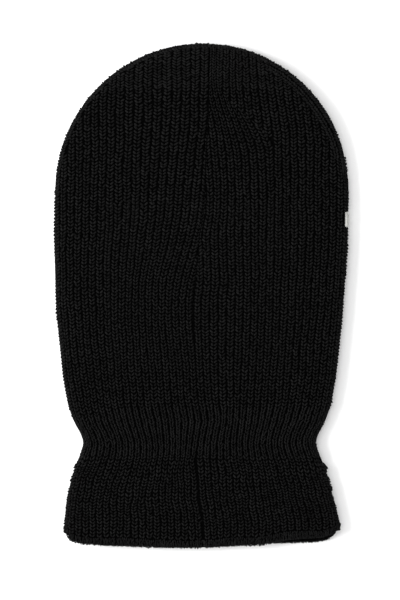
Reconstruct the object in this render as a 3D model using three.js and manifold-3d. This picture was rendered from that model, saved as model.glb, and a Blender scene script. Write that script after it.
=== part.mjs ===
// A knitted ski balaclava, laid flat on its face with the back of the head uppermost.
// Millimetres. +X runs across the mask, +Y from the hem to the crown, +Z from the face to the back.
// Heights up the mask are written as distances above the hem, and the last group puts the middle of
// the length at the origin, with the face resting on z = 0.
import * as THREE from "three";
import { mergeVertices } from "three/addons/utils/BufferGeometryUtils.js";
import Module from "manifold-3d";

const wasm = await Module();
wasm.setup();

// Driving dimensions.
const LENGTH = 382; // hem to crown
const HALF_WIDTH = 111; // at the widest, and the radius of the crown
const THICKNESS = 17; // two layers of knit and the air between them
const WALL = 3.6; // one layer of chunky rib
const GAP = 0.3; // between neighbouring pieces
const MID = THICKNESS / 2;
const CEILING = THICKNESS - WALL - GAP; // what lies under the upper layer reaches up to here
const FOLD_FLAT = 1; // the short upright stretch in the middle of each side fold
const OPENING_STEPS = 24; // straight steps round each face opening
const FAR = 200; // past the mask on every side

// Where one knit structure changes to the next, above the hem.
const HEM_TOP = 6;
const FOLD_LINE = 80; // foot of the neck rib, the narrowest place, where the collar folds up
const NECK_TOP = 112;
const CROWN_LINE = 340;

// The right-hand outline from below the hem to the foot of the dome, as [half width, height].
// It runs on past the hem, so that the tube is open there.
const SIDE = [
  [103.8, -60],
  [104.6, 0],
  [104.6, 18],
  [98.2, 50],
  [94.6, 62],
  [87.8, 80],
  [94.6, 95],
  [99.4, 108],
  [103.4, 131],
  [108.2, 176],
  [111, 228],
];
const DOME_CENTRE = LENGTH - HALF_WIDTH;
const INNER_TOP = LENGTH - MID - GAP; // where the upper and lower layers begin to meet at the crown

// Face openings, before their bindings are put in.
const EYE_LEFT = { x: -36, height: 232, across: 58, up: 38 };
const EYE_RIGHT = { ...EYE_LEFT, x: 36 };
const MOUTH = { x: 0, height: 160, across: 70, up: 32 };
const BINDING_WIDTH = 5;
const TACK = { across: 4.2, up: 3, deep: 1.2 };

// A plain white bar of satin stitches at the temple, which runs a little way over the side fold.
const BAR = { from: 84, low: 242.5, high: 254.5, over: 2.6, deep: 0.9 };

// The hem's edge: its lift at the corners, where the straight part ends, and the foot of each side.
const HEM = { sag: 3, corner: 97, side: 104.9, sideFoot: 12 };

// Seam allowances inside, and the blank label that is caught in the back one.
const SEAM = { half: 3.5, deep: 2 };
const DART = { inner: 97, outer: 101, deep: 1.6, from: 3, to: 58 };
const LABEL = { across: 18, low: 20, up: 26, thick: 0.7 };

const KNIT = new THREE.MeshStandardMaterial({ color: 0x151516, roughness: 0.95, metalness: 0 });
const TIGHT_RIB = new THREE.MeshStandardMaterial({ color: 0x131314, roughness: 0.92, metalness: 0 });
const THREAD = new THREE.MeshStandardMaterial({ color: 0x0e0e0f, roughness: 0.75, metalness: 0 });
const WHITE_THREAD = new THREE.MeshStandardMaterial({ color: 0xe9e9e6, roughness: 0.5, metalness: 0 });
const SATIN = new THREE.MeshStandardMaterial({ color: 0xdedcd6, roughness: 0.55, metalness: 0 });

// A closed three.js geometry as a solid that can be cut and joined.
function solidOf(geometry) {
  const bare = geometry.clone();
  bare.deleteAttribute("normal");
  bare.deleteAttribute("uv");
  const merged = mergeVertices(bare, 1e-4);
  return new wasm.Manifold(
    new wasm.Mesh({
      numProp: 3,
      vertProperties: new Float32Array(merged.attributes.position.array),
      triVerts: new Uint32Array(merged.index.array),
    }),
  );
}

// A solid as a named mesh.
function piece(name, solid, material) {
  const made = solid.getMesh();
  const places = new Float32Array(made.numVert * 3);
  for (let i = 0; i < made.numVert; i++) {
    places.set(made.vertProperties.subarray(i * made.numProp, i * made.numProp + 3), i * 3);
  }
  const geometry = new THREE.BufferGeometry();
  geometry.setAttribute("position", new THREE.BufferAttribute(places, 3));
  geometry.setIndex(new THREE.BufferAttribute(made.triVerts, 1));
  geometry.computeVertexNormals();
  const mesh = new THREE.Mesh(geometry, material);
  mesh.name = name;
  return mesh;
}

// A box from its lowest to its highest corner.
function block(low, high) {
  const size = high.map((value, i) => value - low[i]);
  const box = new THREE.BoxGeometry(...size);
  box.translate(...low.map((value, i) => value + size[i] / 2));
  return solidOf(box);
}

// A flat outline pulled up along z.
function prism(shape, low, high, curveSegments) {
  const geometry = new THREE.ExtrudeGeometry(shape, {
    depth: high - low,
    bevelEnabled: false,
    curveSegments,
  });
  geometry.translate(0, 0, low);
  return solidOf(geometry);
}

// The plan outline: sides through SIDE, and a half circle over the crown.
function planOutline() {
  const right = new THREE.SplineCurve(SIDE.map(([x, y]) => new THREE.Vector2(x, y))).getPoints(20);
  const dome = new THREE.EllipseCurve(0, DOME_CENTRE, HALF_WIDTH, HALF_WIDTH, 0, Math.PI).getPoints(26);
  const left = right.map((p) => new THREE.Vector2(-p.x, p.y)).reverse();
  return new THREE.Shape([...right, ...dome, ...left]);
}

// The laid-flat mask as a full pillow with round side folds, its skin moved in by inset.
function pillow(inset) {
  const fold = MID - inset;
  const geometry = new THREE.ExtrudeGeometry(planOutline(), {
    depth: FOLD_FLAT,
    bevelThickness: fold - FOLD_FLAT / 2,
    bevelSize: fold,
    bevelOffset: -fold - inset,
    bevelSegments: 3,
  });
  geometry.translate(0, 0, MID - FOLD_FLAT / 2);
  return solidOf(geometry);
}

// What is left of the tube above its hem: a shallow curve with round corners.
function aboveHem() {
  const shape = new THREE.Shape();
  shape.moveTo(-HEM.corner, HEM.sag);
  shape.quadraticCurveTo(0, -HEM.sag, HEM.corner, HEM.sag);
  shape.quadraticCurveTo(HEM.side, HEM.sag, HEM.side, HEM.sideFoot);
  shape.lineTo(FAR, 2 * HEM.sideFoot);
  shape.lineTo(FAR, 2 * LENGTH);
  shape.lineTo(-FAR, 2 * LENGTH);
  shape.lineTo(-FAR, 2 * HEM.sideFoot);
  shape.lineTo(-HEM.side, HEM.sideFoot);
  shape.quadraticCurveTo(-HEM.side, HEM.sag, -HEM.corner, HEM.sag);
  return prism(shape, -1, THICKNESS + 1, 8);
}

const outer = pillow(0);
const tube = outer.subtract(pillow(WALL)).intersect(aboveHem());

// A stretch of the tube: one layer, between two heights and two places across, less the gap all round.
function stretch(layer, from, to, left = -FAR, right = FAR) {
  const floor = layer === "back" ? MID + GAP / 2 : -1;
  const roof = layer === "back" ? THICKNESS + 1 : MID - GAP / 2;
  return tube.intersect(block([left + GAP / 2, from + GAP / 2, floor], [right - GAP / 2, to - GAP / 2, roof]));
}

// The three knitted structures of the tube that are seamed at the centre back: one piece each side of
// the seam on the back layer, and one across the face side.
function knittedZone(name, from, to, material) {
  return [
    piece(`${name}_back_left`, stretch("back", from, to, -FAR, 0), material),
    piece(`${name}_back_right`, stretch("back", from, to, 0, FAR), material),
    piece(`${name}_front`, stretch("front", from, to), material),
  ];
}

// The oval of a face opening in the panel, drawn in by smaller.
function openingOutline({ x, height, across, up }, smaller = 0) {
  const path = new THREE.Shape();
  path.absellipse(x, height, across / 2 - smaller, up / 2 - smaller, 0, Math.PI * 2);
  return path;
}

// The binding that is linked round a face opening, with a shallow notch for each bar tack.
function binding(name, opening) {
  const ring = openingOutline(opening, GAP);
  ring.holes.push(openingOutline(opening, BINDING_WIDTH));
  let solid = prism(ring, 0, WALL, OPENING_STEPS);
  for (const end of [-1, 1]) {
    const { low, high } = tackPlace(opening, end);
    solid = solid.subtract(
      block([low[0] - GAP, low[1] - GAP, -1], [high[0] + GAP, high[1] + GAP, high[2] + GAP]),
    );
  }
  return piece(name, solid, TIGHT_RIB);
}

// A bar tack's box, across the binding at one end of an opening.
function tackPlace({ x, height, across }, end) {
  const middle = x + end * (across / 2 - BINDING_WIDTH / 2);
  return {
    low: [middle - TACK.across / 2, height - TACK.up / 2, 0.05],
    high: [middle + TACK.across / 2, height + TACK.up / 2, TACK.deep],
  };
}

function barTack(name, opening, end) {
  const { low, high } = tackPlace(opening, end);
  return piece(name, block(low, high), THREAD);
}

// The raised seam allowance inside the centre back: a low bead under the upper layer.
function backSeam(name, from, to) {
  const bead = new THREE.Shape();
  bead.moveTo(-SEAM.half, 0);
  bead.quadraticCurveTo(-SEAM.half, -SEAM.deep, 0, -SEAM.deep);
  bead.quadraticCurveTo(SEAM.half, -SEAM.deep, SEAM.half, 0);
  const geometry = new THREE.ExtrudeGeometry(bead, {
    depth: to - from - GAP,
    bevelEnabled: false,
    curveSegments: 4,
  });
  geometry.rotateX(Math.PI / 2);
  geometry.translate(0, to - GAP / 2, CEILING);
  return piece(name, solidOf(geometry), THREAD);
}

// A crown dart's seam allowance: a flat strip that follows the dome just inside its side fold.
function crownDart(name, side) {
  const low = THREE.MathUtils.degToRad(DART.from);
  const high = THREE.MathUtils.degToRad(DART.to);
  const [start, end] = side > 0 ? [low, high] : [Math.PI - high, Math.PI - low];
  const strip = new THREE.Shape();
  strip.absarc(0, DOME_CENTRE, DART.outer, start, end);
  strip.absarc(0, DOME_CENTRE, DART.inner, end, start, true);
  return piece(name, prism(strip, CEILING - DART.deep, CEILING, 16), THREAD);
}

// The skin of the mask where the white bar is stitched, moved out by margin on every side.
function barPlace(margin) {
  const place = block(
    [BAR.from - margin, BAR.low - margin, -1],
    [FAR, BAR.high + margin, MID + BAR.over + margin],
  );
  return outer.subtract(pillow(BAR.deep + margin)).intersect(place);
}

function careLabel() {
  const left = SEAM.half + GAP;
  const low = [left, LABEL.low, CEILING - LABEL.thick];
  const high = [left + LABEL.across, LABEL.low + LABEL.up, CEILING];
  return piece("care_label", block(low, high), SATIN);
}

// Head: the face panel has its three openings and the bed of the white bar cut out of it.
const openings = [
  ["eye_left", EYE_LEFT],
  ["eye_right", EYE_RIGHT],
  ["mouth", MOUTH],
];
let face = stretch("front", NECK_TOP, CROWN_LINE).subtract(barPlace(GAP));
for (const [, opening] of openings) {
  face = face.subtract(prism(openingOutline(opening), -1, WALL + 1, OPENING_STEPS));
}
const backRight = stretch("back", NECK_TOP, CROWN_LINE, 0, FAR).subtract(barPlace(GAP));
const head = [
  piece("head_back_left", stretch("back", NECK_TOP, CROWN_LINE, -FAR, 0), KNIT),
  piece("head_back_right", backRight, KNIT),
  piece("face_panel", face, KNIT),
  piece("white_bar", barPlace(0), WHITE_THREAD),
];
for (const [name, opening] of openings) {
  head.push(binding(`${name}_binding`, opening));
  head.push(barTack(`${name}_tack_outer`, opening, -1), barTack(`${name}_tack_inner`, opening, 1));
}

// The hood is everything above the line where the collar folds.
const hood = new THREE.Group();
hood.add(
  ...head,
  ...knittedZone("crown", CROWN_LINE, LENGTH + 1, TIGHT_RIB),
  ...knittedZone("neck", FOLD_LINE, NECK_TOP, TIGHT_RIB),
  backSeam("hood_back_seam", FOLD_LINE, INNER_TOP),
  crownDart("crown_dart_left", -1),
  crownDart("crown_dart_right", 1),
);

const collar = new THREE.Group();
collar.add(
  ...knittedZone("collar", HEM_TOP, FOLD_LINE, KNIT),
  piece("hem_back", stretch("back", -FAR, HEM_TOP), TIGHT_RIB),
  piece("hem_front", stretch("front", -FAR, HEM_TOP), TIGHT_RIB),
  backSeam("collar_back_seam", HEM_TOP, FOLD_LINE),
  careLabel(),
);

const balaclava = new THREE.Group();
balaclava.add(hood, collar);
balaclava.position.y = -LENGTH / 2;
balaclava.updateMatrixWorld(true);

export default balaclava;
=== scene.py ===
import math
import bpy
import numpy as np
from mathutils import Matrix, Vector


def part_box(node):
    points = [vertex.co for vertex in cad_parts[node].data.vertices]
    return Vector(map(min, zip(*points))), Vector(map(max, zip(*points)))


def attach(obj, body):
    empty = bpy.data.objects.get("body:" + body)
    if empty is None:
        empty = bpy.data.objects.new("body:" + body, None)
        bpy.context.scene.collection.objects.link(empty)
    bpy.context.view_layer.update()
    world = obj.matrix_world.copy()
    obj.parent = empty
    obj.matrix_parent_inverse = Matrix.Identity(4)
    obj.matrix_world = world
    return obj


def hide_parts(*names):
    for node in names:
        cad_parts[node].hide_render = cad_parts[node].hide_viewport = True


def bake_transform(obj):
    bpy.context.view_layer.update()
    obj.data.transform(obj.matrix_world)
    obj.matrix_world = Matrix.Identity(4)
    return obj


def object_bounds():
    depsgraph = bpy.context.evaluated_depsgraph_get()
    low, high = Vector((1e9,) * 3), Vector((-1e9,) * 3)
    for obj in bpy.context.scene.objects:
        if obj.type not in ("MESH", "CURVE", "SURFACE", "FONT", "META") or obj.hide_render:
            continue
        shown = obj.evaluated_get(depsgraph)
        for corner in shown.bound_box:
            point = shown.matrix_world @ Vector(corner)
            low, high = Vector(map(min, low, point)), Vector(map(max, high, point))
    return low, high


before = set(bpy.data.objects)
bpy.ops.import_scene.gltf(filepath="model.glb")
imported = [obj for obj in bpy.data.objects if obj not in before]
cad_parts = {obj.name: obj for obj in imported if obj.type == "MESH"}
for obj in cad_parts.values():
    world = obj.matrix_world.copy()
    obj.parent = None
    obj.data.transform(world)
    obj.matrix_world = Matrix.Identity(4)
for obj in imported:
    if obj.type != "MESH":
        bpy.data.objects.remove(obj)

cad_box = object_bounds()


# ---------------------------------------------------------------------------------------------
# Cloth of the tube. The mask is knitted flat in 1x1 rib, seamed up the centre back and laid on its
# face, so it is two layers of black acrylic knit that run into each other round soft side folds.
# These panels are the inner loops of the rib: dark between the ribs, and the whole inside surface. Their
# near-black colour is painted shade.

MM = 0.001
MIDDLE = cad_box[1].z / 2  # height of the outermost line of a side fold
FOLD = MIDDLE  # radius of a side fold
DOME = cad_box[1].y - cad_box[1].x  # height of the crown's centre
HEM = cad_box[0].y
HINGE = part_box("neck_front")[0].y  # foot of the neck, where the collar folds up
HEM_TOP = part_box("collar_front")[0].y
NECK_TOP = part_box("face_panel")[0].y
CROWN_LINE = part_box("crown_front")[0].y

# Half width of the laid-flat mask at each height above the hem, in mm, up to the crown's centre.
SIDE = [
    (-20, 104.2), (0, 104.6), (18, 104.6), (34, 101.8), (50, 98.2), (62, 94.6), (72, 90.4), (80, 87.8),
    (87, 89.8), (95, 94.6), (108, 99.4), (131, 103.4), (176, 108.2), (228, 111), (271, 111),
]
# How far the middle of the mask lies to the right at each height, in mm.
DRIFT = [(0, 0.6), (20, 1.2), (38, -0.4), (97, -0.9), (188, -0.8), (219, 0), (264, 0.9), (382, 1.4)]
# The back layer's edge is pulled up at its right, and shows the edge of the face layer below it.
HEM_BACK = [
    (-104, 12), (-100, 7), (-90, 4), (-70, 2.4), (-45, 1.5), (-20, 0.8), (0, 0.8), (20, 2), (46, 3.4),
    (58, 6.6), (66, 8), (90, 8.6), (99, 11), (104, 14),
]
HEM_FACE = [
    (-104, 12), (-98, 8), (-88, 5), (-70, 3.4), (-45, 2.6), (0, 2.4), (30, 3.2), (62, 4), (84, 4.6),
    (94, 6.2), (100, 9.6), (104, 14),
]
TURNED_UP = 60 * MM  # height above the hem by which the knit lies level again
EDGE = 1.8 * MM  # radius of the cloth's rounded edge
PRESSED = 0.11  # part of its depth that the face side is pressed flat by


def along_line(line, place, base=0.0):
    """The value that a line of (place, value) points in mm has at a place in metres."""
    return np.interp(place, [at * MM + base for at, _ in line], [value * MM for _, value in line])


def half_width(up):
    fine = np.linspace(HEM - 20 * MM, DOME, 600)
    sides = np.pad(along_line(SIDE, fine, HEM), 6, mode="edge")
    return np.interp(up, fine, np.convolve(sides, np.ones(13) / 13, "valid"))


def reach(up):
    """Cloth from the centre line to the outermost line of the side fold, at a height below the crown."""
    return half_width(np.minimum(up, DOME)) - FOLD + FOLD * math.pi / 2


def smooth_step(value):
    value = np.clip(value, 0, 1)
    return value * value * (3 - 2 * value)


def soft_noise(seed, x, y, size):
    """Hollows and swells of about that size, mostly between -1 and 1."""
    rng = np.random.default_rng(seed)
    total = 0
    for turn in rng.uniform(0, 2 * np.pi, 7):
        phase = rng.uniform(0, 2 * np.pi)
        length = size * rng.uniform(0.7, 1.5)
        total = total + np.sin(2 * np.pi * (x * math.cos(turn) + y * math.sin(turn)) / length + phase)
    return total / 3


def lay(across, up, lift, face, hem):
    """Where a point of the cloth lies: so far across and up the unrolled mask, and lifted off the rib
    tops. Face is 1 for the back of the head, which is uppermost, and -1 for the face side."""
    run = up - HEM
    turn = np.clip((EDGE - run) / EDGE, 0, math.pi)
    level = np.where(turn > 0, EDGE - (EDGE + lift) * np.sin(turn), run) + HEM
    lift = np.where(turn > 0, (EDGE + lift) * np.cos(turn) - EDGE, lift)
    up = level + along_line(hem, across) * (1 - smooth_step(run / TURNED_UP))
    over = np.maximum(up - DOME, 0)
    out = np.hypot(across, over)
    away_x = np.where(over > 0, across / np.maximum(out, 1e-9), np.sign(across))
    away_y = np.where(over > 0, over / np.maximum(out, 1e-9), 0)
    flat = half_width(np.minimum(up, DOME)) - FOLD
    turn = np.maximum(out - flat, 0) / FOLD
    radial = np.minimum(out, flat) + (FOLD + lift) * np.sin(turn)
    return np.stack([
        away_x * radial + along_line(DRIFT, up, HEM),
        np.minimum(up, DOME) + away_y * radial,
        MIDDLE + face * (FOLD + lift) * np.cos(turn),
    ], axis=-1)


# The centre-back seam wanders from side to side. Each point is the height and how far right it lies.
SEAM_PATH = [
    (0, 1.5), (67, -2.3), (82, -0.8), (97, 1.5), (112, -0.8), (166, -4.6), (188, -4.6), (211, -3.0),
    (238, -0.8), (253, 1.5), (329, 4.6), (382, 5.4),
]
# The right shoulder is taken in by a dart: its line, as the angle above the crown's centre in
# degrees, and how far out it lies in mm.
DART_LINE = [
    (-4, 118), (2, 112), (10, 105.5), (20, 100.5), (30, 99), (45, 99.6), (58, 101.5), (66, 107), (74, 117),
]
COLLAR_TOP = HEM + 70 * MM  # the knit changes here from cardigan rib to the plain rib of the neck
NECK_RIDGE = HEM + 107 * MM  # and here back to cardigan rib, lower towards the left side


def neck_line(across):
    return NECK_RIDGE - 9 * MM * smooth_step((-across / reach(DOME) - 0.5) / 0.4)


def wander(up):
    return along_line(SEAM_PATH, up, HEM)


def dart_line(across, over):
    """How far a place on the back lies outside the right dart's line."""
    angle = np.degrees(np.arctan2(over, np.maximum(across, 1e-6)))
    return np.hypot(across, over) - np.interp(angle, *zip(*[(at, out * MM) for at, out in DART_LINE]))


def loose_collar(up):
    """1 where the collar hangs loose and wrinkles, and 0 towards its hem and the neck."""
    return smooth_step((up - HEM - 14 * MM) / (20 * MM)) * smooth_step((COLLAR_TOP + 4 * MM - up) / (8 * MM))


HOLLOW = 0.4 * MM  # depth of the soft hollows
SEAM_SUNK = 0.9 * MM  # how deep the back seam sinks in, and how far it pulls down the cloth beside it
SEAM_REACH = 1.3 * MM
DART_SUNK = 1.1 * MM
DART_REACH = 1.2 * MM


def relief(across, up):
    """How the back swells and sinks: soft hollows, a low neck, wrinkles in the collar, sunk seams."""
    hollows = HOLLOW * (soft_noise(6, across, up, 70 * MM) - 1)
    seam = -SEAM_SUNK * np.exp(-((across - wander(up)) / SEAM_REACH)**2)
    seam = seam * (1 - 0.8 * smooth_step((up - HEM - 325 * MM) / (15 * MM)))
    seam = seam * (1.9 - 0.9 * smooth_step((up - COLLAR_TOP) / (8 * MM)))
    neck = smooth_step((up - COLLAR_TOP) / (5 * MM))
    neck = neck * smooth_step((neck_line(across) + 1 * MM - up) / (4 * MM))
    ridge = np.exp(-((up - neck_line(across) - 3.5 * MM) / (2.5 * MM))**2)
    wrinkles = loose_collar(up) * soft_noise(8, across * 0.35, up, 11 * MM)
    dart = -DART_SUNK * np.exp(-(dart_line(across, up - DOME) / DART_REACH)**2)
    dart = dart * (across > 0) * (up > DOME)
    over = np.maximum(up - DOME, 0)
    brim = smooth_step((np.hypot(across, over) - reach(DOME) + 6 * MM) / (6 * MM)) * (over > 0)
    dent = np.exp(-((across + 24 * MM) / (4 * MM))**2 - ((up - HEM - 23 * MM) / (9 * MM))**2)
    return hollows + seam + dart + MM * (0.3 * ridge - 0.8 * neck + wrinkles - 0.6 * brim - 1.4 * dent)


def back_cloth(across, up, lift):
    part = across / reach(up)
    up = up + 0.5 * MM * soft_noise(3, across, up, 60 * MM) * smooth_step((up - HEM) / (10 * MM))
    up = up + 0.8 * MM * loose_collar(up) * soft_noise(7, across, up, 22 * MM)
    carried = np.where(across < 0, 50 * MM, 24 * MM)
    across = across + wander(up) * np.exp(-(across / carried)**2) * np.maximum(1 - part**2, 0)
    across = across + 0.35 * MM * soft_noise(4, across, up, 45 * MM)
    across = across + 0.45 * MM * loose_collar(up) * soft_noise(9, across, up, 20 * MM)
    return lay(across, up, lift + relief(across, up), 1, HEM_BACK)


def on_floor(places):
    """The face side is pressed a little flatter than the back, so that its rib tops touch the floor."""
    below = np.minimum(places[..., 2] - MIDDLE, 0)
    places[..., 2] = places[..., 2] - below * PRESSED
    return places


def face_cloth(across, up, lift):
    part = across / reach(up)
    across = across + 0.3 * MM * soft_noise(5, across, up, 50 * MM) * np.maximum(1 - part**2, 0)
    return on_floor(lay(across, up, lift, -1, HEM_FACE))


def colour(code):
    """An sRGB hex colour as the linear colour that a shader takes."""
    levels = [int(code[i:i + 2], 16) / 255 for i in (1, 3, 5)]
    return tuple(v / 12.92 if v <= 0.04045 else ((v + 0.055) / 1.055) ** 2.4 for v in levels) + (1,)


def add_node(tree, kind, settings, inputs):
    """A shader node with its settings, and with each input a value or a link."""
    made = tree.nodes.new(kind)
    for key, value in settings.items():
        setattr(made, key, value)
    for key, value in inputs.items():
        if isinstance(value, bpy.types.NodeSocket):
            tree.links.new(value, made.inputs[key])
        else:
            made.inputs[key].default_value = value
    return made


def new_material(name, constants):
    """A material and its shader, with the values that are the same all over the surface."""
    made = bpy.data.materials.new(name)
    made.use_nodes = True
    shader = made.node_tree.nodes["Principled BSDF"]
    for key, value in constants.items():
        shader.inputs[key].default_value = value
    return made, made.node_tree, shader


def set_stops(ramp, stops):
    """Gives a colour ramp its (place, hex colour) stops."""
    elements = ramp.color_ramp.elements
    while len(elements) < len(stops):
        elements.new(0.5)
    for element, (place, code) in zip(elements, stops):
        element.position = place
        element.color = colour(code)


def link_surface(tree, shader, tone, rough, bump):
    """Gives the shader its colour, roughness and relief from the nodes that make them."""
    tree.links.new(tone.outputs["Color"], shader.inputs["Base Color"])
    tree.links.new(rough.outputs["Result"], shader.inputs["Roughness"])
    tree.links.new(bump.outputs["Normal"], shader.inputs["Normal"])


# Acrylic knit seen from behind: the same black yarn in the depth of the cloth, where light hardly reaches,
# coloured darker than the yarn as painted shade. It is matt, with the loops of the purl side as soft relief,
# one V to each stitch.
painted_shade_knit, tree, shader = new_material("acrylic knit, inner loops in painted shade", {
    "Metallic": 0.0, "IOR": 1.48, "Specular IOR Level": 0.03, "Sheen Weight": 0.0,
})
where = add_node(tree, "ShaderNodeTexCoord", {}, {})
stitch_place = add_node(tree, "ShaderNodeSeparateXYZ", {}, {"Vector": where.outputs["UV"]})
in_rib = add_node(tree, "ShaderNodeMath", {"operation": "PINGPONG"}, {0: stitch_place.outputs["X"], 1: 0.5})
in_row = add_node(tree, "ShaderNodeMath", {"operation": "MULTIPLY_ADD"}, {
    0: in_rib.outputs[0], 1: 1.4, 2: stitch_place.outputs["Y"],
})
turns = add_node(tree, "ShaderNodeMath", {"operation": "MULTIPLY"}, {0: in_row.outputs[0], 1: 2 * math.pi})
loops = add_node(tree, "ShaderNodeMath", {"operation": "SINE"}, {0: turns.outputs[0]})
fuzz = add_node(tree, "ShaderNodeTexNoise", {}, {
    "Vector": where.outputs["Object"], "Scale": 1 / (0.5 * MM), "Detail": 3.0,
})
mottle = add_node(tree, "ShaderNodeTexNoise", {}, {
    "Vector": where.outputs["Object"], "Scale": 1 / (3 * MM), "Detail": 3.0,
})
height = add_node(tree, "ShaderNodeMath", {"operation": "MULTIPLY_ADD"}, {
    0: loops.outputs[0], 1: 0.6, 2: fuzz.outputs["Fac"],
})
bump = add_node(tree, "ShaderNodeBump", {}, {
    "Height": height.outputs[0], "Strength": 0.6, "Distance": 0.4 * MM,
})
tone = add_node(tree, "ShaderNodeValToRGB", {}, {"Fac": mottle.outputs["Fac"]})
# Painted shade: near-black tones, darker than the yarn's own, for the depth of the cloth.
set_stops(tone, [(0.3, "#010101"), (0.7, "#030303")])
rough = add_node(tree, "ShaderNodeMapRange", {}, {
    "Value": fuzz.outputs["Fac"], "To Min": 0.85, "To Max": 1.0,
})
link_surface(tree, shader, tone, rough, bump)

WALES = 20.5  # ribs from the centre-back seam to the outermost line of a side fold
PITCH = reach(DOME) / WALES  # of the ribs, where the mask is widest
ROW = 2.52 * MM  # of the cardigan rib
CLOTH_DEPTH = 2.1 * MM  # of the panel below the rib tops
CLOTH_THICK = 1.0 * MM
VALLEY = 0.5 * MM  # how much deeper the panel lies between the ribs
RIM_RISE = 1.7 * MM  # how much less deep it lies along the side folds, where the knit is stretched
CROWN_RISE = 3.0 * MM  # and how much less in the gathered crown, for each unit of the way to its centre


def thicken(made, thickness, offset):
    """Gives the active sheet its thickness: below it at offset -1, and half to each side at 0."""
    thick = made.modifiers.new("thickness", "SOLIDIFY")
    thick.thickness = thickness
    thick.offset = offset
    bpy.ops.object.modifier_apply(modifier=thick.name)
    bpy.ops.object.shade_smooth()


def panel(name, low, high, left, right, place, cells):
    """A piece of cloth between two heights, and between two parts of the way to the side folds."""
    bpy.ops.object.select_all(action="DESELECT")
    bpy.ops.mesh.primitive_grid_add(x_subdivisions=cells[0], y_subdivisions=cells[1], size=1)
    made = bpy.context.object
    made.name = name
    mesh = made.data
    grid = np.zeros(len(mesh.vertices) * 3)
    mesh.vertices.foreach_get("co", grid)
    grid = grid.reshape(-1, 3) + [0.5, 0.5, 0]
    whole = reach(DOME)
    widest = 0.998 * math.sqrt(1 - (max(low - DOME, 0) / whole)**2)
    part = widest * (left + (right - left) * grid[:, 0])
    top = np.minimum(DOME + np.sqrt(np.maximum(whole**2 - (part * whole)**2, 0)), high)
    up = low + (top - low) * grid[:, 1]
    wave = 0.5 + 0.5 * np.cos(2 * np.pi * part * WALES)
    rim = np.hypot(part * reach(up), np.maximum(up - DOME, 0)) / reach(up)
    depth = CLOTH_DEPTH - RIM_RISE * smooth_step((rim - 0.93) / 0.07)
    depth = depth - CROWN_RISE * smooth_step((up - CROWN_LINE) / (8 * MM)) * (1 - rim)
    places = place(part * reach(up), up, -depth - VALLEY * wave)
    mesh.vertices.foreach_set("co", places.ravel())
    corners = np.zeros(len(mesh.loops), int)
    mesh.loops.foreach_get("vertex_index", corners)
    in_stitches = np.stack([part * WALES, (up - HEM) / ROW], axis=-1)[corners]
    mesh.uv_layers.active.data.foreach_set("uv", in_stitches.ravel())
    mesh.update()
    if place is face_cloth:
        mesh.flip_normals()
    thicken(made, CLOTH_THICK, -1)
    # The panels take the inner knit's near-black painted shade.
    mesh.materials.append(painted_shade_knit)
    return made


# Each zone's name, its lowest and highest line, and its material slot.
ZONES = [
    ("hem", HEM + 0.8 * MM, HEM_TOP, "tight_rib"),
    ("collar", HEM_TOP, HINGE, "knit"),
    ("neck", HINGE, NECK_TOP, "tight_rib"),
    ("head", NECK_TOP, CROWN_LINE, "knit"),
    ("crown", CROWN_LINE, 1.0, "tight_rib"),
]


def ride_or_bend(piece, zone):
    """Cloth near the collar's fold has its transform baked into its mesh, and the rest is attached to the
    hood or the collar.
    """
    if zone in ("collar", "neck"):
        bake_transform(piece)
    else:
        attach(piece, "collar" if zone == "hem" else "hood")


panels = {}
for zone, low, high, slot in ZONES:
    rows = 4 + int((min(high, cad_box[1].y) - low) / (4 * MM))
    sides = [("back_left", -1, 0, back_cloth), ("back_right", 0, 1, back_cloth), ("front", -1, 1, face_cloth)]
    if zone == "hem":
        sides = [("back", -1, 1, back_cloth), ("front", -1, 1, face_cloth)]
    for side, left, right, place in sides:
        columns = 83 if right - left == 1 else 165
        panels[zone, side] = panel(f"{zone}_{side}_cloth", low, high, left, right, place, (columns, rows))

# The eye and mouth openings are knitted into the face panel, which is open inside their bindings.
OPENINGS = {name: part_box(name + "_binding") for name in ("eye_left", "eye_right", "mouth")}
BINDING = 5.0 * MM  # width of the trim round an opening
for name, (low_corner, high_corner) in OPENINGS.items():
    bpy.ops.object.select_all(action="DESELECT")
    size = high_corner - low_corner
    middle = (low_corner + high_corner) / 2
    bpy.ops.mesh.primitive_cylinder_add(
        vertices=72, radius=0.5, depth=20 * MM, location=(middle.x, middle.y, 0),
        scale=(size.x - BINDING, size.y - BINDING, 1))
    cutter = bpy.context.object
    bpy.context.view_layer.objects.active = panels["head", "front"]
    cut = panels["head", "front"].modifiers.new("opening", "BOOLEAN")
    cut.operation = "DIFFERENCE"
    cut.object = cutter
    bpy.ops.object.modifier_apply(modifier=cut.name)
    bpy.data.objects.remove(cutter)


# ---------------------------------------------------------------------------------------------
# Ribs. Every knit stitch shows as a V of two plump legs of yarn, and a rib is a column of them. In
# the cardigan rib of head and collar the Vs are open and each hides a tucked loop, with a small dark
# hole between one V and the next. In the plain rib of neck and crown they are close and long.

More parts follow.
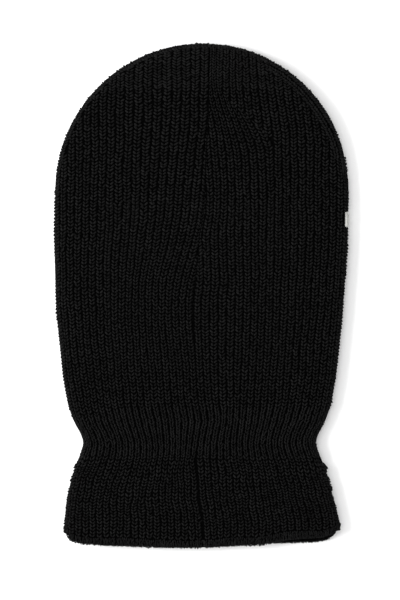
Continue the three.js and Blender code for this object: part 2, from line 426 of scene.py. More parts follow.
def strand(foot, belly, head, radius, rings=5):
    """A short length of yarn through three places in mm: right, along and above the rib top."""
    bpy.ops.object.select_all(action="DESELECT")
    bpy.ops.mesh.primitive_uv_sphere_add(segments=6, ring_count=rings, radius=1)
    ball = bpy.context.object
    unit = np.array([v.co for v in ball.data.vertices])
    corners = np.array([loop.vertex_index for loop in ball.data.loops])
    sizes = np.array([len(p.vertices) for p in ball.data.polygons])
    uv = np.array([corner.uv for corner in ball.data.uv_layers.active.data])
    bpy.data.objects.remove(ball)
    t = (unit[:, 2:] + 1) / 2
    foot, belly, head = (np.array(place) * MM for place in (foot, belly, head))
    path = foot * (1 - t) * (1 - 2 * t) + belly * 4 * t * (1 - t) + head * t * (2 * t - 1)
    along = foot * (4 * t - 3) + belly * 4 * (1 - 2 * t) + head * (4 * t - 1)
    along = along / np.linalg.norm(along, axis=1, keepdims=True)
    side = np.cross(along, [0, 0, 1])
    side = side / np.linalg.norm(side, axis=1, keepdims=True)
    girth = np.maximum(np.hypot(unit[:, :1], unit[:, 1:2]), 1e-6)
    section = unit[:, :1] * side + unit[:, 1:2] * np.cross(along, side)
    return path + radius * MM * girth**-0.35 * section, corners, sizes, uv


def mesh_piece(name, places, corners, sizes, uv, dye):
    mesh = bpy.data.meshes.new(name)
    mesh.vertices.add(len(places))
    mesh.vertices.foreach_set("co", places.astype(np.float32).ravel())
    mesh.loops.add(len(corners))
    mesh.loops.foreach_set("vertex_index", corners.astype(np.int32))
    mesh.polygons.add(len(sizes))
    mesh.polygons.foreach_set("loop_start", np.concatenate([[0], np.cumsum(sizes)[:-1]]).astype(np.int32))
    mesh.polygons.foreach_set("use_smooth", np.ones(len(sizes), bool))
    mesh.uv_layers.new(name="yarn").data.foreach_set("uv", uv.astype(np.float32).ravel())
    mesh.attributes.new("dye", "FLOAT", "POINT").data.foreach_set("value", dye.astype(np.float32))
    mesh.update(calc_edges=True)
    mesh.validate()
    made = bpy.data.objects.new(name, mesh)
    bpy.context.scene.collection.objects.link(made)
    return made


def knit(name, spots, shape, place, seed, material, both_legs=True, loose=1.0):
    """A piece of stitches: the shape is copied to each (across, up) spot, each copy a little different,
    and place lays it on the mask."""
    points, corners, sizes, uv = shape
    rng = np.random.default_rng(seed)
    count = len(spots)
    probe = np.array([[0, 0, 0], [1e-5, 0, 0], [0, 1e-5, 0], [0, 0, 1e-5]])
    laid = place(spots[0, 0] + probe[:, 0], spots[0, 1] + probe[:, 1], probe[:, 2])
    left_handed = np.linalg.det(laid[1:] - laid[0]) < 0
    places, all_corners = [], []
    for side in (-1, 1) if both_legs else (1,):
        size = rng.uniform(1 - 0.12 * loose, 1 + 0.12 * loose, (count, 1))
        lean = rng.normal(0, 0.11 * loose, (count, 1))
        right = side * points[:, 0] * size + lean * points[:, 1]
        right = right + rng.normal(0, 0.14 * MM * loose, (count, 1))
        along = points[:, 1] * size + rng.normal(0, 0.18 * MM * loose, (count, 1))
        lift = points[:, 2] * size + rng.normal(0, 0.16 * MM * loose, (count, 1))
        laid = place(spots[:, :1] + right, spots[:, 1:] + along, lift)
        ends = np.cumsum(sizes)
        turned = corners
        if (side < 0) != left_handed:
            turned = np.concatenate([corners[end - size_:end][::-1] for end, size_ in zip(ends, sizes)])
        first = len(points) * count * len(places)
        places.append(laid.reshape(-1, 3))
        all_corners.append((first + len(points) * np.arange(count)[:, None] + turned).ravel())
    copies = count * len(places)
    dye = np.repeat(rng.normal(0, 1, copies), len(points))
    made = mesh_piece(name, np.concatenate(places), np.concatenate(all_corners), np.tile(sizes, copies),
                      np.tile(uv, (copies, 1)), dye)
    made.data.materials.append(material)
    return made


def twisted_plies(tree, where, twist):
    """Two ridges that wind round each strand, so many turns from end to end."""
    on_strand = add_node(tree, "ShaderNodeSeparateXYZ", {}, {"Vector": where.outputs["UV"]})
    slant = add_node(tree, "ShaderNodeMath", {"operation": "MULTIPLY_ADD"}, {
        0: on_strand.outputs["Y"], 1: twist, 2: on_strand.outputs["X"],
    })
    turns = add_node(tree, "ShaderNodeMath", {"operation": "MULTIPLY"}, {0: slant.outputs[0], 1: 4 * math.pi})
    return add_node(tree, "ShaderNodeMath", {"operation": "SINE"}, {0: turns.outputs[0]})


# Black acrylic yarn: soft two-ply knitting yarn, dyed in the mass. It is matt with a faint fuzz, its
# plies show as slanting ridges along each leg, and the tone changes a little from stitch to stitch.
def yarn_material(name, tones, twist):
    made, tree, shader = new_material(name, {
        "Metallic": 0.0, "IOR": 1.48, "Specular IOR Level": 0.04,
        "Sheen Weight": 0.012, "Sheen Roughness": 0.5,
    })
    where = add_node(tree, "ShaderNodeTexCoord", {}, {})
    plies = twisted_plies(tree, where, twist)
    fibre = add_node(tree, "ShaderNodeTexNoise", {}, {
        "Vector": where.outputs["Object"], "Scale": 1 / (0.3 * MM), "Detail": 3.0,
    })
    height = add_node(tree, "ShaderNodeMath", {"operation": "MULTIPLY_ADD"}, {
        0: plies.outputs[0], 1: 0.35, 2: fibre.outputs["Fac"],
    })
    bump = add_node(tree, "ShaderNodeBump", {}, {
        "Height": height.outputs[0], "Strength": 0.9, "Distance": 0.3 * MM,
    })
    dye = add_node(tree, "ShaderNodeAttribute", {"attribute_name": "dye"}, {})
    patch = add_node(tree, "ShaderNodeTexNoise", {}, {
        "Vector": where.outputs["Object"], "Scale": 1 / (14 * MM), "Detail": 3.0,
    })
    clump = add_node(tree, "ShaderNodeTexNoise", {}, {
        "Vector": where.outputs["Object"], "Scale": 1 / (0.9 * MM), "Detail": 2.0,
    })
    soft = add_node(tree, "ShaderNodeMath", {"operation": "MULTIPLY_ADD"}, {
        0: patch.outputs["Fac"], 1: 0.35, 2: clump.outputs["Fac"],
    })
    centred = add_node(tree, "ShaderNodeMath", {"operation": "SUBTRACT"}, {0: soft.outputs[0], 1: 0.175})
    depth = add_node(tree, "ShaderNodeMath", {"operation": "MULTIPLY_ADD"}, {
        0: dye.outputs["Fac"], 1: 0.13, 2: centred.outputs[0],
    })
    tone = add_node(tree, "ShaderNodeValToRGB", {}, {"Fac": depth.outputs[0]})
    set_stops(tone, list(zip((0.2, 0.5, 0.8), tones)))
    rough = add_node(tree, "ShaderNodeMapRange", {}, {
        "Value": fibre.outputs["Fac"], "To Min": 0.7, "To Max": 0.95,
    })
    link_surface(tree, shader, tone, rough, bump)
    return made


black_yarn = yarn_material("black acrylic yarn", ("#0a0a0a", "#121212", "#181818"), 1.2)
CARDIGAN = strand((0.25, 0.15, -1.15), (1.3, 0.85, 0.0), (1.95, 1.9, -1.8), 0.74)
PLAIN = strand((0.4, -0.35, -1.15), (1.2, 0.75, 0.0), (1.7, 2.05, -1.35), 0.75)
CROWN = strand((0.15, -0.3, -1.1), (1.3, 0.55, 0.0), (2.3, 1.6, -1.3), 0.72)


# Right of the seam the crown is shaped. The ten inner ribs lean towards the seam and end on a slanting
# line, and new upright ribs start on it. Its points are a height and how far right of the seam.
SHAPED = 10 * PITCH
SHAPED_FROM = HEM + 290 * MM
SHAPED_LINE = [
    (300, 56), (306, 53.7), (315, 46.9), (321, 40), (326, 32.7), (333, 21.5), (343, 11.3), (355, 6), (382, 4),
]


def inner_lean(across, up):
    return 0.55 * (SHAPED - along_line(SHAPED_LINE, up, HEM)) * across / SHAPED


def outer_lean(across, up):
    lean = 6 * MM * smooth_step((up - HEM - 305 * MM) / (60 * MM))
    return lean * np.exp(-((across - 66 * MM) / (40 * MM))**2)


def pulled_in(across, up, lean=outer_lean):
    """Towards the crown the ribs beside the back seam run into it."""
    soon = smooth_step((up - HEM - 196 * MM) / (46 * MM)) * np.where(across < 0, 1.3, 0.7)
    later = smooth_step((up - HEM - 245 * MM) / (100 * MM)) * np.where(across < 0, 0.7, 1.3)
    pull = PITCH * (soon + later) * np.exp(-(across / (55 * MM))**2)
    return across - np.sign(across) * pull - lean(across, up)


def on_back(across, up, lift, lean=outer_lean):
    across = across + 0.2 * MM * soft_noise(2, across * 3, up, 34 * MM)
    side = np.sign(across)
    beside = pulled_in(across, up, lean) * side
    lift = lift - 1.8 * np.maximum(0.5 * MM - beside, 0)  # what runs into the seam is tucked under
    gapes = smooth_step((COLLAR_TOP + 4 * MM - up) / (8 * MM))
    gapes = gapes + np.exp(-((up - HEM - 180 * MM) / (26 * MM))**4)
    beside = beside + 0.8 * MM * gapes * np.exp(-np.maximum(beside, 0) / (6 * MM))
    past_dart = dart_line(beside, up - DOME) * (across > 0) * (up > DOME)
    lift = lift - 0.6 * np.clip(past_dart - 0.5 * MM, 0, 4 * MM)
    leaning = np.exp(-((up - HEM - 68 * MM) / (14 * MM))**2) * (across < 0)
    part = np.clip(-across / reach(DOME), 0, 1)
    beside = beside - 13 * MM * leaning * part * (1 - part)
    return back_cloth(side * np.maximum(beside, 0.1 * MM) * reach(up) / reach(DOME), up, lift)


def on_back_inner(across, up, lift):
    past = pulled_in(across, up, inner_lean) - along_line(SHAPED_LINE, up, HEM)
    return on_back(across, up, lift - 0.8 * np.clip(past + 0.5 * MM, 0, 3 * MM), inner_lean)


def on_face(across, up, lift):
    return face_cloth(across * reach(up) / reach(DOME), up, lift)


def crown_edge(across):
    """Height where the cardigan rib changes to the plain rib of the crown, lower at the sides."""
    return HEM + 349 * MM - 12 * MM * (np.abs(across) / (87 * MM))**4.5


def rib_spots(low, high, row, first, last):
    """Stitches up each rib from the low line to the high one, as (across, up) pairs."""
    found = []
    for rib in range(first, last + 1):
        across = (rib + 0.5) * PITCH
        start = low(across) if callable(low) else low
        end = high(across) if callable(high) else high
        count = max(round((end - start) / row), 0)
        found.extend((across, start + (n + 0.5) * (end - start) / count) for n in range(count))
    return np.array(found)


def in_bar(across, up):
    low_corner, high_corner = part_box("white_bar")
    beside = np.abs(up - (low_corner.y + high_corner.y) / 2) < (high_corner.y - low_corner.y) / 2 + 0.2 * MM
    return beside & (across > low_corner.x - 1 * MM)


PAST_SEAM = 2.2 * MM  # how far a rib runs on past the back seam before it is cut off
PAST_DART = 3.6 * MM  # and past the dart's line
BRIM_RIBS = 1.45  # ribs along the brim of the crown, in place of the ones that would end on it
BAR_FROM = 19 * PITCH  # ribs further out than this are covered by the white bar's end


def kept_on_back(spots, lean=outer_lean):
    """Leaves out what the back seam or the shoulder dart cuts off, and what the white bar covers."""
    across, up = spots.T
    moved = pulled_in(across, up, lean)
    over = up - DOME
    seamed = moved * np.sign(across) < -PAST_SEAM
    darted = (across > 0) & (over > 0) & (dart_line(moved, over) > PAST_DART)
    out = np.hypot(moved, np.maximum(over, 0))
    brim = (over > 0) & (out > reach(DOME) - BRIM_RIBS * PITCH) & (
        (across < 0) | (over > np.abs(moved) * 3.5))
    barred = in_bar(across, up) & (across > BAR_FROM)
    return spots[~(seamed | darted | brim | (out > reach(DOME) + 0.5 * MM) | barred)]


def kept_on_right(spots):
    spots = kept_on_back(spots)
    across, up = spots.T
    started = pulled_in(across, up) > along_line(SHAPED_LINE, up, HEM) - 0.8 * MM
    return spots[(across > SHAPED) | (up < SHAPED_FROM) | started]


def kept_on_inner(spots):
    spots = kept_on_back(spots, inner_lean)
    across, up = spots.T
    past = pulled_in(across, up, inner_lean) - along_line(SHAPED_LINE, up, HEM)
    return spots[(up >= SHAPED_FROM) & (past < 2 * MM)]


def kept_on_face(spots):
    across, up = spots.T
    over = np.maximum(up - DOME, 0)
    dropped = (np.hypot(across, over) > reach(DOME) - 3 * MM) & (over > 0) | in_bar(across, up)
    for low_corner, high_corner in OPENINGS.values():
        middle = (low_corner + high_corner) / 2
        size = (high_corner - low_corner) / 2
        dropped |= np.hypot((across - middle.x) / size.x, (up - middle.y) / size.y) < 1
    return spots[~dropped]


LAYOUT = [
    ("collar", CARDIGAN, HEM_TOP, COLLAR_TOP, ROW, "knit"),
    ("neck", PLAIN, COLLAR_TOP, neck_line, 2.2 * MM, "tight_rib"),
    ("head", CARDIGAN, neck_line, crown_edge, ROW, "knit"),
    ("crown", CROWN, crown_edge, DOME + reach(DOME), 2.1 * MM, "tight_rib"),
]
HALVES = [
    ("back_left", -21, -1, on_back, kept_on_back), ("back_right", 0, 20, on_back, kept_on_right),
    ("front_left", -20, -1, on_face, kept_on_face), ("front_right", 0, 19, on_face, kept_on_face),
    ("back_right_inner", 0, 9, on_back_inner, kept_on_inner),
]
ribs = {}
for zone, shape, low, high, row, slot in LAYOUT:
    for number, (half, first, last, place, kept) in enumerate(HALVES):
        spots = kept(rib_spots(low, high, row, first, last))
        if len(spots) == 0:
            continue
        made = knit(f"{zone}_ribs_{half}", spots, shape, place, 10 + number, black_yarn)
        ribs[zone, half] = made
        ride_or_bend(made, zone)


# ---------------------------------------------------------------------------------------------
# Brim of the crown. Its outermost ribs run along the outline instead of up to it, and turn over the
# side fold to the face side. On the right a dart takes the crown in, and three ribs or four run
# outside its sunk line.

OUTLINE = reach(DOME)


def on_brim(side):
    """A place function for one side, -1 for the left: across counts inwards from the outline, and up
    runs along it from the height of the crown's centre."""
    def place(across, up, lift):
        angle = up / OUTLINE
        out = OUTLINE - across
        return back_cloth(side * out * np.cos(angle), DOME + out * np.sin(angle), lift)

    return place


# For each side: how far along the outline its ribs run in mm, how many there are, and the place in mm
# past which the two outermost run on inside the dart's line.
for word, side, ends_at, count, run_on in (("left", -1, 182, 2, -3), ("right", 1, 180, 4, 150)):
    spots = []
    for rib in range(count):
        rows = np.arange(-2, ends_at, 2.4) * MM
        out = OUTLINE - rib * PITCH
        past_dart = dart_line(out * np.cos(rows / OUTLINE), out * np.sin(rows / OUTLINE))
        kept = (past_dart > 0.5 * MM) | (rib < 2) & (rows > run_on * MM)
        spots.extend((rib * PITCH, row) for row in rows[kept])
    made = knit(f"crown_ribs_{word}_brim", np.array(spots), PLAIN, on_brim(side), 20, black_yarn)
    ribs["crown", word + "_brim"] = made
    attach(made, "hood")


# ---------------------------------------------------------------------------------------------
# Hem welt. The knitting starts here with a few rows of fine plain rib that lie flat and roll under
# the edge, so knit and purl wales both show as thin upright cords.

WELT = strand((0.3, -0.5, -0.9), (0.62, 0.5, -0.25), (0.85, 1.6, -0.8), 0.52)
WELT_ROW = 1.7 * MM
for side, place, seed in (("back", on_back, 30), ("front", on_face, 31)):
    columns = (np.arange(-41, 41) + 0.5) * PITCH / 2
    rows = np.arange(-2, 4) * WELT_ROW + HEM
    across, up = (grid.ravel() for grid in np.meshgrid(columns, rows))
    made = knit(f"hem_welt_{side}", np.stack([across, up], axis=-1), WELT, place, seed, black_yarn, loose=1.6)
    ribs["hem", side] = made
    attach(made, "collar")

# Each cloth panel stands for its node in the solid model, which is hidden. The face side lies on the floor,
# and the back on the face side. The crown's outline is a segment of a circle, which fills 0.7 of its width
# times its height.
for zone, low, high, slot in ZONES:
    for side in [side for of_zone, side in panels if of_zone == zone]:
        made = panels[zone, side]
        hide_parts("face_panel" if (zone, side) == ("head", "front") else f"{zone}_{side}")
        ride_or_bend(made, zone)


# ---------------------------------------------------------------------------------------------
# Inside of the back. It shows through the eye and mouth openings, where the purl side of the same
# 1x1 rib looks like its outside.

LINING_PAST = 12 * MM  # how far the inside ribs run on past the openings
LINING_LOW = OPENINGS["mouth"][0].y - LINING_PAST
LINING_HIGH = OPENINGS["eye_left"][1].y + LINING_PAST
LINING_RIBS = int(OPENINGS["eye_right"][1].x / PITCH) + 1
LAYER = 3.4 * MM  # from the outer rib tops to the inner ones


def inside_back(across, up, lift):
    return back_cloth(pulled_in(across, up) * reach(up) / reach(DOME), up, -LAYER - lift)


spots = kept_on_back(rib_spots(LINING_LOW, LINING_HIGH, ROW, -LINING_RIBS - 1, LINING_RIBS))
ribs["head", "inside"] = knit("head_ribs_inside", spots, CARDIGAN, inside_back, 40, black_yarn)
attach(ribs["head", "inside"], "hood")


# ---------------------------------------------------------------------------------------------
# Seams. The two edges of the knitting are joined inside by an overlock seam down the centre back,
# in a hood length and a collar length, and by one along each crown dart: a soft rolled allowance,
# wrapped in polyester thread.

def thread_material(name, tones, sheen):
    made, tree, shader = new_material(name, {
        "Metallic": 0.0, "IOR": 1.5, "Specular IOR Level": 0.35,
        "Sheen Weight": sheen, "Sheen Roughness": 0.3,
    })
    where = add_node(tree, "ShaderNodeTexCoord", {}, {})
    plies = twisted_plies(tree, where, 6.0)
    bump = add_node(tree, "ShaderNodeBump", {}, {
        "Height": plies.outputs[0], "Strength": 0.35, "Distance": 0.06 * MM,
    })
    wear = add_node(tree, "ShaderNodeTexNoise", {}, {
        "Vector": where.outputs["Object"], "Scale": 1 / (2 * MM), "Detail": 3.0,
    })
    tone = add_node(tree, "ShaderNodeValToRGB", {}, {"Fac": wear.outputs["Fac"]})
    set_stops(tone, [(0.3, tones[0]), (0.7, tones[1])])
    rough = add_node(tree, "ShaderNodeMapRange", {}, {
        "Value": wear.outputs["Fac"], "To Min": 0.4, "To Max": 0.6,
    })
    link_surface(tree, shader, tone, rough, bump)
    return made


# Black polyester sewing thread: three-ply, smooth and a little glossy.
sewing_thread = thread_material("black polyester thread", ("#0a0a0b", "#141416"), 0.0)

SEAM_HALF = 3.2 * MM  # half width and depth of the back seam's allowance
SEAM_DEEP = 2.0 * MM
DART_HALF = 2.0 * MM
DART_DEEP = 1.5 * MM
WRAP_STEP = 1.6 * MM  # from one overlock stitch to the next


def finish_filling(made):
    """Finishes the active closed mesh: faces outwards, smooth, and in the inner knit, whose near-black colour
    is painted shade.
    """
    bpy.ops.object.mode_set(mode="EDIT")
    bpy.ops.mesh.select_all(action="SELECT")
    bpy.ops.mesh.normals_make_consistent(inside=False)
    bpy.ops.object.mode_set(mode="OBJECT")
    bpy.ops.object.shade_smooth()
    made.data.materials.append(painted_shade_knit)


def seam_bead(name, path, start, end, half, deep):
    """The rolled allowance between two lengths of its path, and the threads across it."""
    length = end - start
    bpy.ops.object.select_all(action="DESELECT")
    bpy.ops.mesh.primitive_uv_sphere_add(segments=12, ring_count=int(length / (3 * MM)) + 4, radius=1)
    made = bpy.context.object
    made.name = name
    unit = np.array([v.co for v in made.data.vertices])
    along = np.arccos(np.clip(-unit[:, 2], -1, 1)) / math.pi * length
    girth = np.hypot(unit[:, 0], unit[:, 1])
    blunt = np.minimum(np.minimum(along, length - along) / (2.5 * MM), 1)
    blunt = np.sqrt(np.maximum(1 - (1 - blunt)**2, 0)) * (girth > 1e-4)
    around = np.arctan2(unit[:, 1], unit[:, 0])
    places = path(half * blunt * np.cos(around), start + along, deep / 2 * blunt * np.sin(around) + deep / 2)
    made.data.vertices.foreach_set("co", places.ravel())
    made.data.update()
    # The allowance takes the inner knit's near-black painted shade.
    finish_filling(made)
    rows = start + 1.5 * MM + np.arange(int((length - 3 * MM) / WRAP_STEP)) * WRAP_STEP
    reach_mm, low_mm = half / MM * 1.04, 0.4 * deep / MM
    wrap = strand((-reach_mm, -0.7, low_mm), (0, 0, deep / MM * 1.12), (reach_mm, 0.7, low_mm), 0.26, 6)
    spots = np.stack([np.zeros(len(rows)), rows], axis=-1)
    threads = knit(name + "_threads", spots, wrap, path, 50, sewing_thread, both_legs=False)
    return made, threads


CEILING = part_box("care_label")[1].z + 0.7 * MM  # the inner loops of the back layer


def under_back_seam(across, up, lift):
    x = wander(up) + along_line(DRIFT, up, HEM) + across
    return np.stack([x, up + 0 * x, CEILING - lift + 0 * x], axis=-1)


SEAM_GAP = 0.3 * MM  # from the collar's fold to the end of each length
for name, start, end in [
    ("hood_back_seam", HINGE + SEAM_GAP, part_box("hood_back_seam")[1].y),
    ("collar_back_seam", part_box("collar_back_seam")[0].y, HINGE - SEAM_GAP),
]:
    for made in seam_bead(name + "_allowance", under_back_seam, start, end, SEAM_HALF, SEAM_DEEP):
        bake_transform(made)
        if not made.name.endswith("threads"):
            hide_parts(name)

DART_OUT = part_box("crown_dart_right")[1].x - DART_HALF
DART_ANGLES = (3, 58)  # degrees above the crown's centre, from end to end
for side, word in ((-1, "left"), (1, "right")):
    def under_dart(across, up, lift, side=side):
        angle = up / DART_OUT
        x = side * (DART_OUT + across) * np.cos(angle)
        return np.stack([x, DOME + (DART_OUT + across) * np.sin(angle), CEILING - lift + 0 * x], axis=-1)

    name = f"crown_dart_{word}"
    start, end = (math.radians(angle) * DART_OUT for angle in DART_ANGLES)
    for made in seam_bead(name + "_allowance", under_dart, start, end, DART_HALF, DART_DEEP):
        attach(made, "hood")
        if not made.name.endswith("threads"):
            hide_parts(name)


# ---------------------------------------------------------------------------------------------
# Bindings. Each opening is edged with a narrow 1x1 rib trim, folded over the edge of the panel and linked to
# it with a chain of stitches. The core is the folded trim, with its fine ribs over it, and takes the inner
# knit's painted shade.

TRIM = strand((0.3, -0.3, -0.8), (0.7, 0.6, -0.1), (0.95, 1.75, -0.7), 0.52)
CHAIN = strand((-0.35, -0.3, -0.7), (-0.9, 1.1, 0.15), (-0.2, 2.3, -0.5), 0.5)
TRIM_PITCH = 2.9 * MM  # of the trim's ribs along the inner edge
TRIM_ROW = 1.7 * MM
CHAIN_LINK = 2.4 * MM


def oval(low_corner, high_corner):
    """A place function for cloth round an opening: across runs along the edge, and up runs outwards
    from the inner edge, rolled under below zero."""
    middle = (low_corner + high_corner) / 2
    half_x = (high_corner.x - low_corner.x) / 2 - BINDING
    half_y = (high_corner.y - low_corner.y) / 2 - BINDING
    turns = np.linspace(0, 2 * np.pi, 721)
    steps = np.hypot(np.diff(half_x * np.cos(turns)), np.diff(half_y * np.sin(turns)))
    lengths = np.concatenate([[0], np.cumsum(steps)])

    def place(across, up, lift):
        turn = np.interp(np.mod(-across, lengths[-1]), lengths, turns)
        out_x, out_y = half_y * np.cos(turn), half_x * np.sin(turn)
        size = np.hypot(out_x, out_y)
        bend = np.clip((EDGE - up) / EDGE, 0, math.pi)
        run = np.where(bend > 0, EDGE - (EDGE + lift) * np.sin(bend), up)
        depth = np.where(bend > 0, EDGE - (EDGE + lift) * np.cos(bend), -lift)
        x = middle.x + half_x * np.cos(turn) + run * out_x / size
        y = middle.y + half_y * np.sin(turn) + run * out_y / size
        return np.stack([x, y, depth + 0.7 * MM], axis=-1)

    return place, lengths[-1]


for number, (name, corners) in enumerate(OPENINGS.items()):
    place, around = oval(*corners)
    bpy.ops.object.select_all(action="DESELECT")
    bpy.ops.mesh.primitive_torus_add(major_segments=96, minor_segments=12, major_radius=1, minor_radius=0.25)
    core = bpy.context.object
    core.name = name + "_binding_core"
    unit = np.array([v.co for v in core.data.vertices])
    turn = np.mod(np.arctan2(unit[:, 1], unit[:, 0]), 2 * math.pi)
    section = np.arctan2(unit[:, 2], np.hypot(unit[:, 0], unit[:, 1]) - 1)
    run = BINDING / 2 + 0.4 * MM + 2.3 * MM * np.cos(section)
    places = place(-turn / (2 * math.pi) * around, np.full(len(turn), EDGE), np.zeros(len(turn)))
    beyond = place(-turn / (2 * math.pi) * around, np.full(len(turn), 2 * EDGE), np.zeros(len(turn)))
    places = places + (beyond - places) / EDGE * (run - EDGE)[:, None]
    places[:, 2] = 2.4 * MM + 1.2 * MM * np.sin(section)
    core.data.vertices.foreach_set("co", places.ravel())
    core.data.update()
    finish_filling(core)
    columns = round(around / TRIM_PITCH)
    across, up = np.meshgrid(np.arange(columns) / columns * around, np.arange(-2, 3) * TRIM_ROW)
    spots = np.stack([across.ravel(), up.ravel()], axis=-1)
    trim = knit(name + "_binding_ribs", spots, TRIM, place, 60 + number, black_yarn)

    def along_joint(across, up, lift, place=place):
        return place(up, BINDING + across, lift)

    links = round(around * 1.12 / CHAIN_LINK)
    spots = np.stack([np.zeros(links), np.arange(links) / links * around], axis=-1)
    chain = knit(name + "_binding_chain", spots, CHAIN, along_joint, 70 + number, black_yarn)
    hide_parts(name + "_binding")
    for made in (core, trim, chain):
        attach(made, "hood")


# ---------------------------------------------------------------------------------------------
# Bar tacks. The corners of each opening take the pull when the mask is put on, so each is sewn over
# with a dense block of short polyester stitches laid side by side.

TACK_STITCH = strand((0, -1.5, -0.75), (0, 0, 0.15), (0, 1.5, -0.75), 0.23, 6)
TACK_STEP = 0.4 * MM
for number, name in enumerate(f"{opening}_tack_{end}" for opening in OPENINGS for end in ("outer", "inner")):
    low_corner, high_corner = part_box(name)
    middle = (low_corner + high_corner) / 2

    def on_tack(across, up, lift, middle=middle):
        return np.stack([middle.x + across, middle.y + up, 0.45 * MM - lift + 0 * across], axis=-1)

    columns = np.arange(-5, 6) * TACK_STEP
    spots = np.stack([columns, 0 * columns], axis=-1)
    tack = knit(name + "_stitches", spots, TACK_STITCH, on_tack, 80 + number, sewing_thread, both_legs=False)
    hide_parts(name)
    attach(tack, "hood")


# ---------------------------------------------------------------------------------------------
# White bar. A plain block of satin stitch at the temple: glossy white rayon thread laid side by side over a
# padding, from the face side round the fold, so that only its end shows from the back. The thread is white,
# and its light grey colour is painted shade for the bar's side at the fold.

# White thread given light grey tones: painted shade where the bar turns round the side fold.
white_rayon_painted_shade = thread_material("white rayon embroidery thread, greyed as painted shade", ("#a8a8a4", "#c8c8c4"), 0.1)
bar_low, bar_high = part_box("white_bar")
BAR_ACROSS = (bar_low.x, OUTLINE + 6.2 * MM)
SATIN_STEP = 0.45 * MM


def on_bar(across, up, lift):
    return on_floor(lay(across, up, lift, -1, HEM_FACE))


half_bar = (bar_high.y - bar_low.y) / 2 / MM
SATIN = strand((0, -half_bar, -0.75), (0, 0, 0.1), (0, half_bar, -0.75), 0.3, 12)
columns = np.arange(BAR_ACROSS[0] + 0.3 * MM, BAR_ACROSS[1], SATIN_STEP)
spots = np.stack([columns, np.full(len(columns), (bar_low.y + bar_high.y) / 2)], axis=-1)
threads = knit("white_bar_satin_stitches", spots, SATIN, on_bar, 90, white_rayon_painted_shade, both_legs=False, loose=0.35)
bpy.ops.object.select_all(action="DESELECT")
bpy.ops.mesh.primitive_grid_add(x_subdivisions=40, y_subdivisions=8, size=1)
pad = bpy.context.object
pad.name = "white_bar_padding"
grid = np.array([v.co for v in pad.data.vertices]) + [0.5, 0.5, 0]
across = BAR_ACROSS[0] + 0.4 * MM + (BAR_ACROSS[1] - BAR_ACROSS[0] - 0.8 * MM) * grid[:, 0]
up = bar_low.y + 0.6 * MM + (bar_high.y - bar_low.y - 1.2 * MM) * grid[:, 1]
pad.data.vertices.foreach_set("co", on_bar(across, up, np.full(len(up), -0.35 * MM)).ravel())
pad.data.update()
pad.data.flip_normals()
thicken(pad, 1.0 * MM, -1)
pad.data.materials.append(white_rayon_painted_shade)
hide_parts("white_bar")
for made in (threads, pad):
    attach(made, "hood")


# ---------------------------------------------------------------------------------------------
# Care label. A blank woven satin ribbon, folded in half over itself, with its two cut ends caught in
# the collar's back seam.

label_low, label_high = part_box("care_label")
ribbon, tree, shader = new_material("woven polyester satin ribbon", {
    "Metallic": 0.0, "IOR": 1.5, "Specular IOR Level": 0.5, "Sheen Weight": 0.1, "Sheen Roughness": 0.3,
})
where = add_node(tree, "ShaderNodeTexCoord", {}, {}).outputs["Object"]
weft = add_node(tree, "ShaderNodeTexWave", {"bands_direction": "Y"}, {
    "Vector": where, "Scale": 0.1 * 2 * math.pi / (0.5 * MM), "Distortion": 0.6, "Detail": 2.0,
})
bump = add_node(tree, "ShaderNodeBump", {}, {
    "Height": weft.outputs["Fac"], "Strength": 0.3, "Distance": 0.05 * MM,
})
tone = add_node(tree, "ShaderNodeValToRGB", {}, {"Fac": weft.outputs["Fac"]})
set_stops(tone, [(0.2, "#cfcdc6"), (0.8, "#e2e0da")])
rough = add_node(tree, "ShaderNodeMapRange", {}, {
    "Value": weft.outputs["Fac"], "To Min": 0.35, "To Max": 0.5,
})
link_surface(tree, shader, tone, rough, bump)

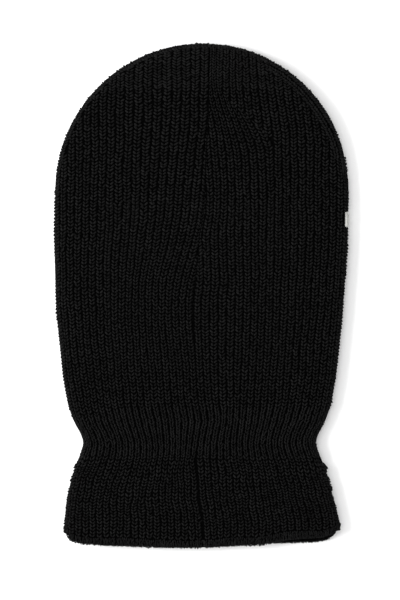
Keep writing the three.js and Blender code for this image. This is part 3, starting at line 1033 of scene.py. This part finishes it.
bpy.ops.object.select_all(action="DESELECT")
bpy.ops.mesh.primitive_grid_add(x_subdivisions=60, y_subdivisions=20, size=1)
label = bpy.context.object
label.name = "care_label_ribbon"
grid = np.array([v.co for v in label.data.vertices]) + [0.5, 0.5, 0]
LOOP = 0.35 * MM  # radius of the ribbon's fold
straight = label_high.x - label_low.x - LOOP
run = grid[:, 0] * (2 * straight + math.pi * LOOP)
turn = np.clip((run - straight) / LOOP, 0, math.pi)
back = np.maximum(run - straight - math.pi * LOOP, 0)
x = label_low.x + np.minimum(run, straight) + LOOP * np.sin(turn) - back
z = label_high.z - 0.2 * MM - LOOP * (1 - np.cos(turn)) - 0.4 * MM * np.sin(grid[:, 1] * math.pi) * grid[:, 0]
y = label_low.y + (label_high.y - label_low.y) * grid[:, 1]
label.data.vertices.foreach_set("co", np.stack([x, y, z], axis=-1).ravel())
label.data.update()
thicken(label, 0.14 * MM, 0)
label.data.materials.append(ribbon)
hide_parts("care_label")
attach(label, "collar")


# ---------------------------------------------------------------------------------------------
# Studio. A plain white floor, one large soft light from the left and a weak fill, and a camera that
# looks straight down.

bpy.ops.object.select_all(action="DESELECT")
bpy.ops.mesh.primitive_plane_add(size=8)
floor = bpy.context.object
floor.name = "floor"
paper, tree, shader = new_material("white paper sweep", {
    "Roughness": 0.9, "Specular IOR Level": 0.1, "Base Color": colour("#f6f6f6"),
})
floor.data.materials.append(paper)


def area_light(name, place, size, power):
    bpy.ops.object.light_add(type="AREA", location=place)
    light = bpy.context.object
    light.name = name
    light.data.size = size
    light.data.energy = power
    light.rotation_euler = (-light.location).to_track_quat("-Z", "Y").to_euler()


area_light("key", (-1.3, 0.0, 1.25), 0.8, 34)
area_light("fill", (-0.2, 0.3, 2.2), 1.6, 22)
studio = bpy.data.worlds.new("studio")
bpy.context.scene.world = studio
studio.use_nodes = True
studio.node_tree.nodes["Background"].inputs["Color"].default_value = (1, 1, 1, 1)
studio.node_tree.nodes["Background"].inputs["Strength"].default_value = 0.7

CAMERA_HEIGHT = 2.2
VIEW_HEIGHT = 0.4525  # metres of the object's plane in the frame
bpy.ops.object.camera_add(location=(-0.0005, -0.0030, CAMERA_HEIGHT), rotation=(0, 0, 0))
camera = bpy.context.object
camera.data.sensor_width = 36
camera.data.lens = 36 * (CAMERA_HEIGHT - MIDDLE) / VIEW_HEIGHT
bpy.context.scene.camera = camera
bpy.context.scene.view_settings.view_transform = "Standard"
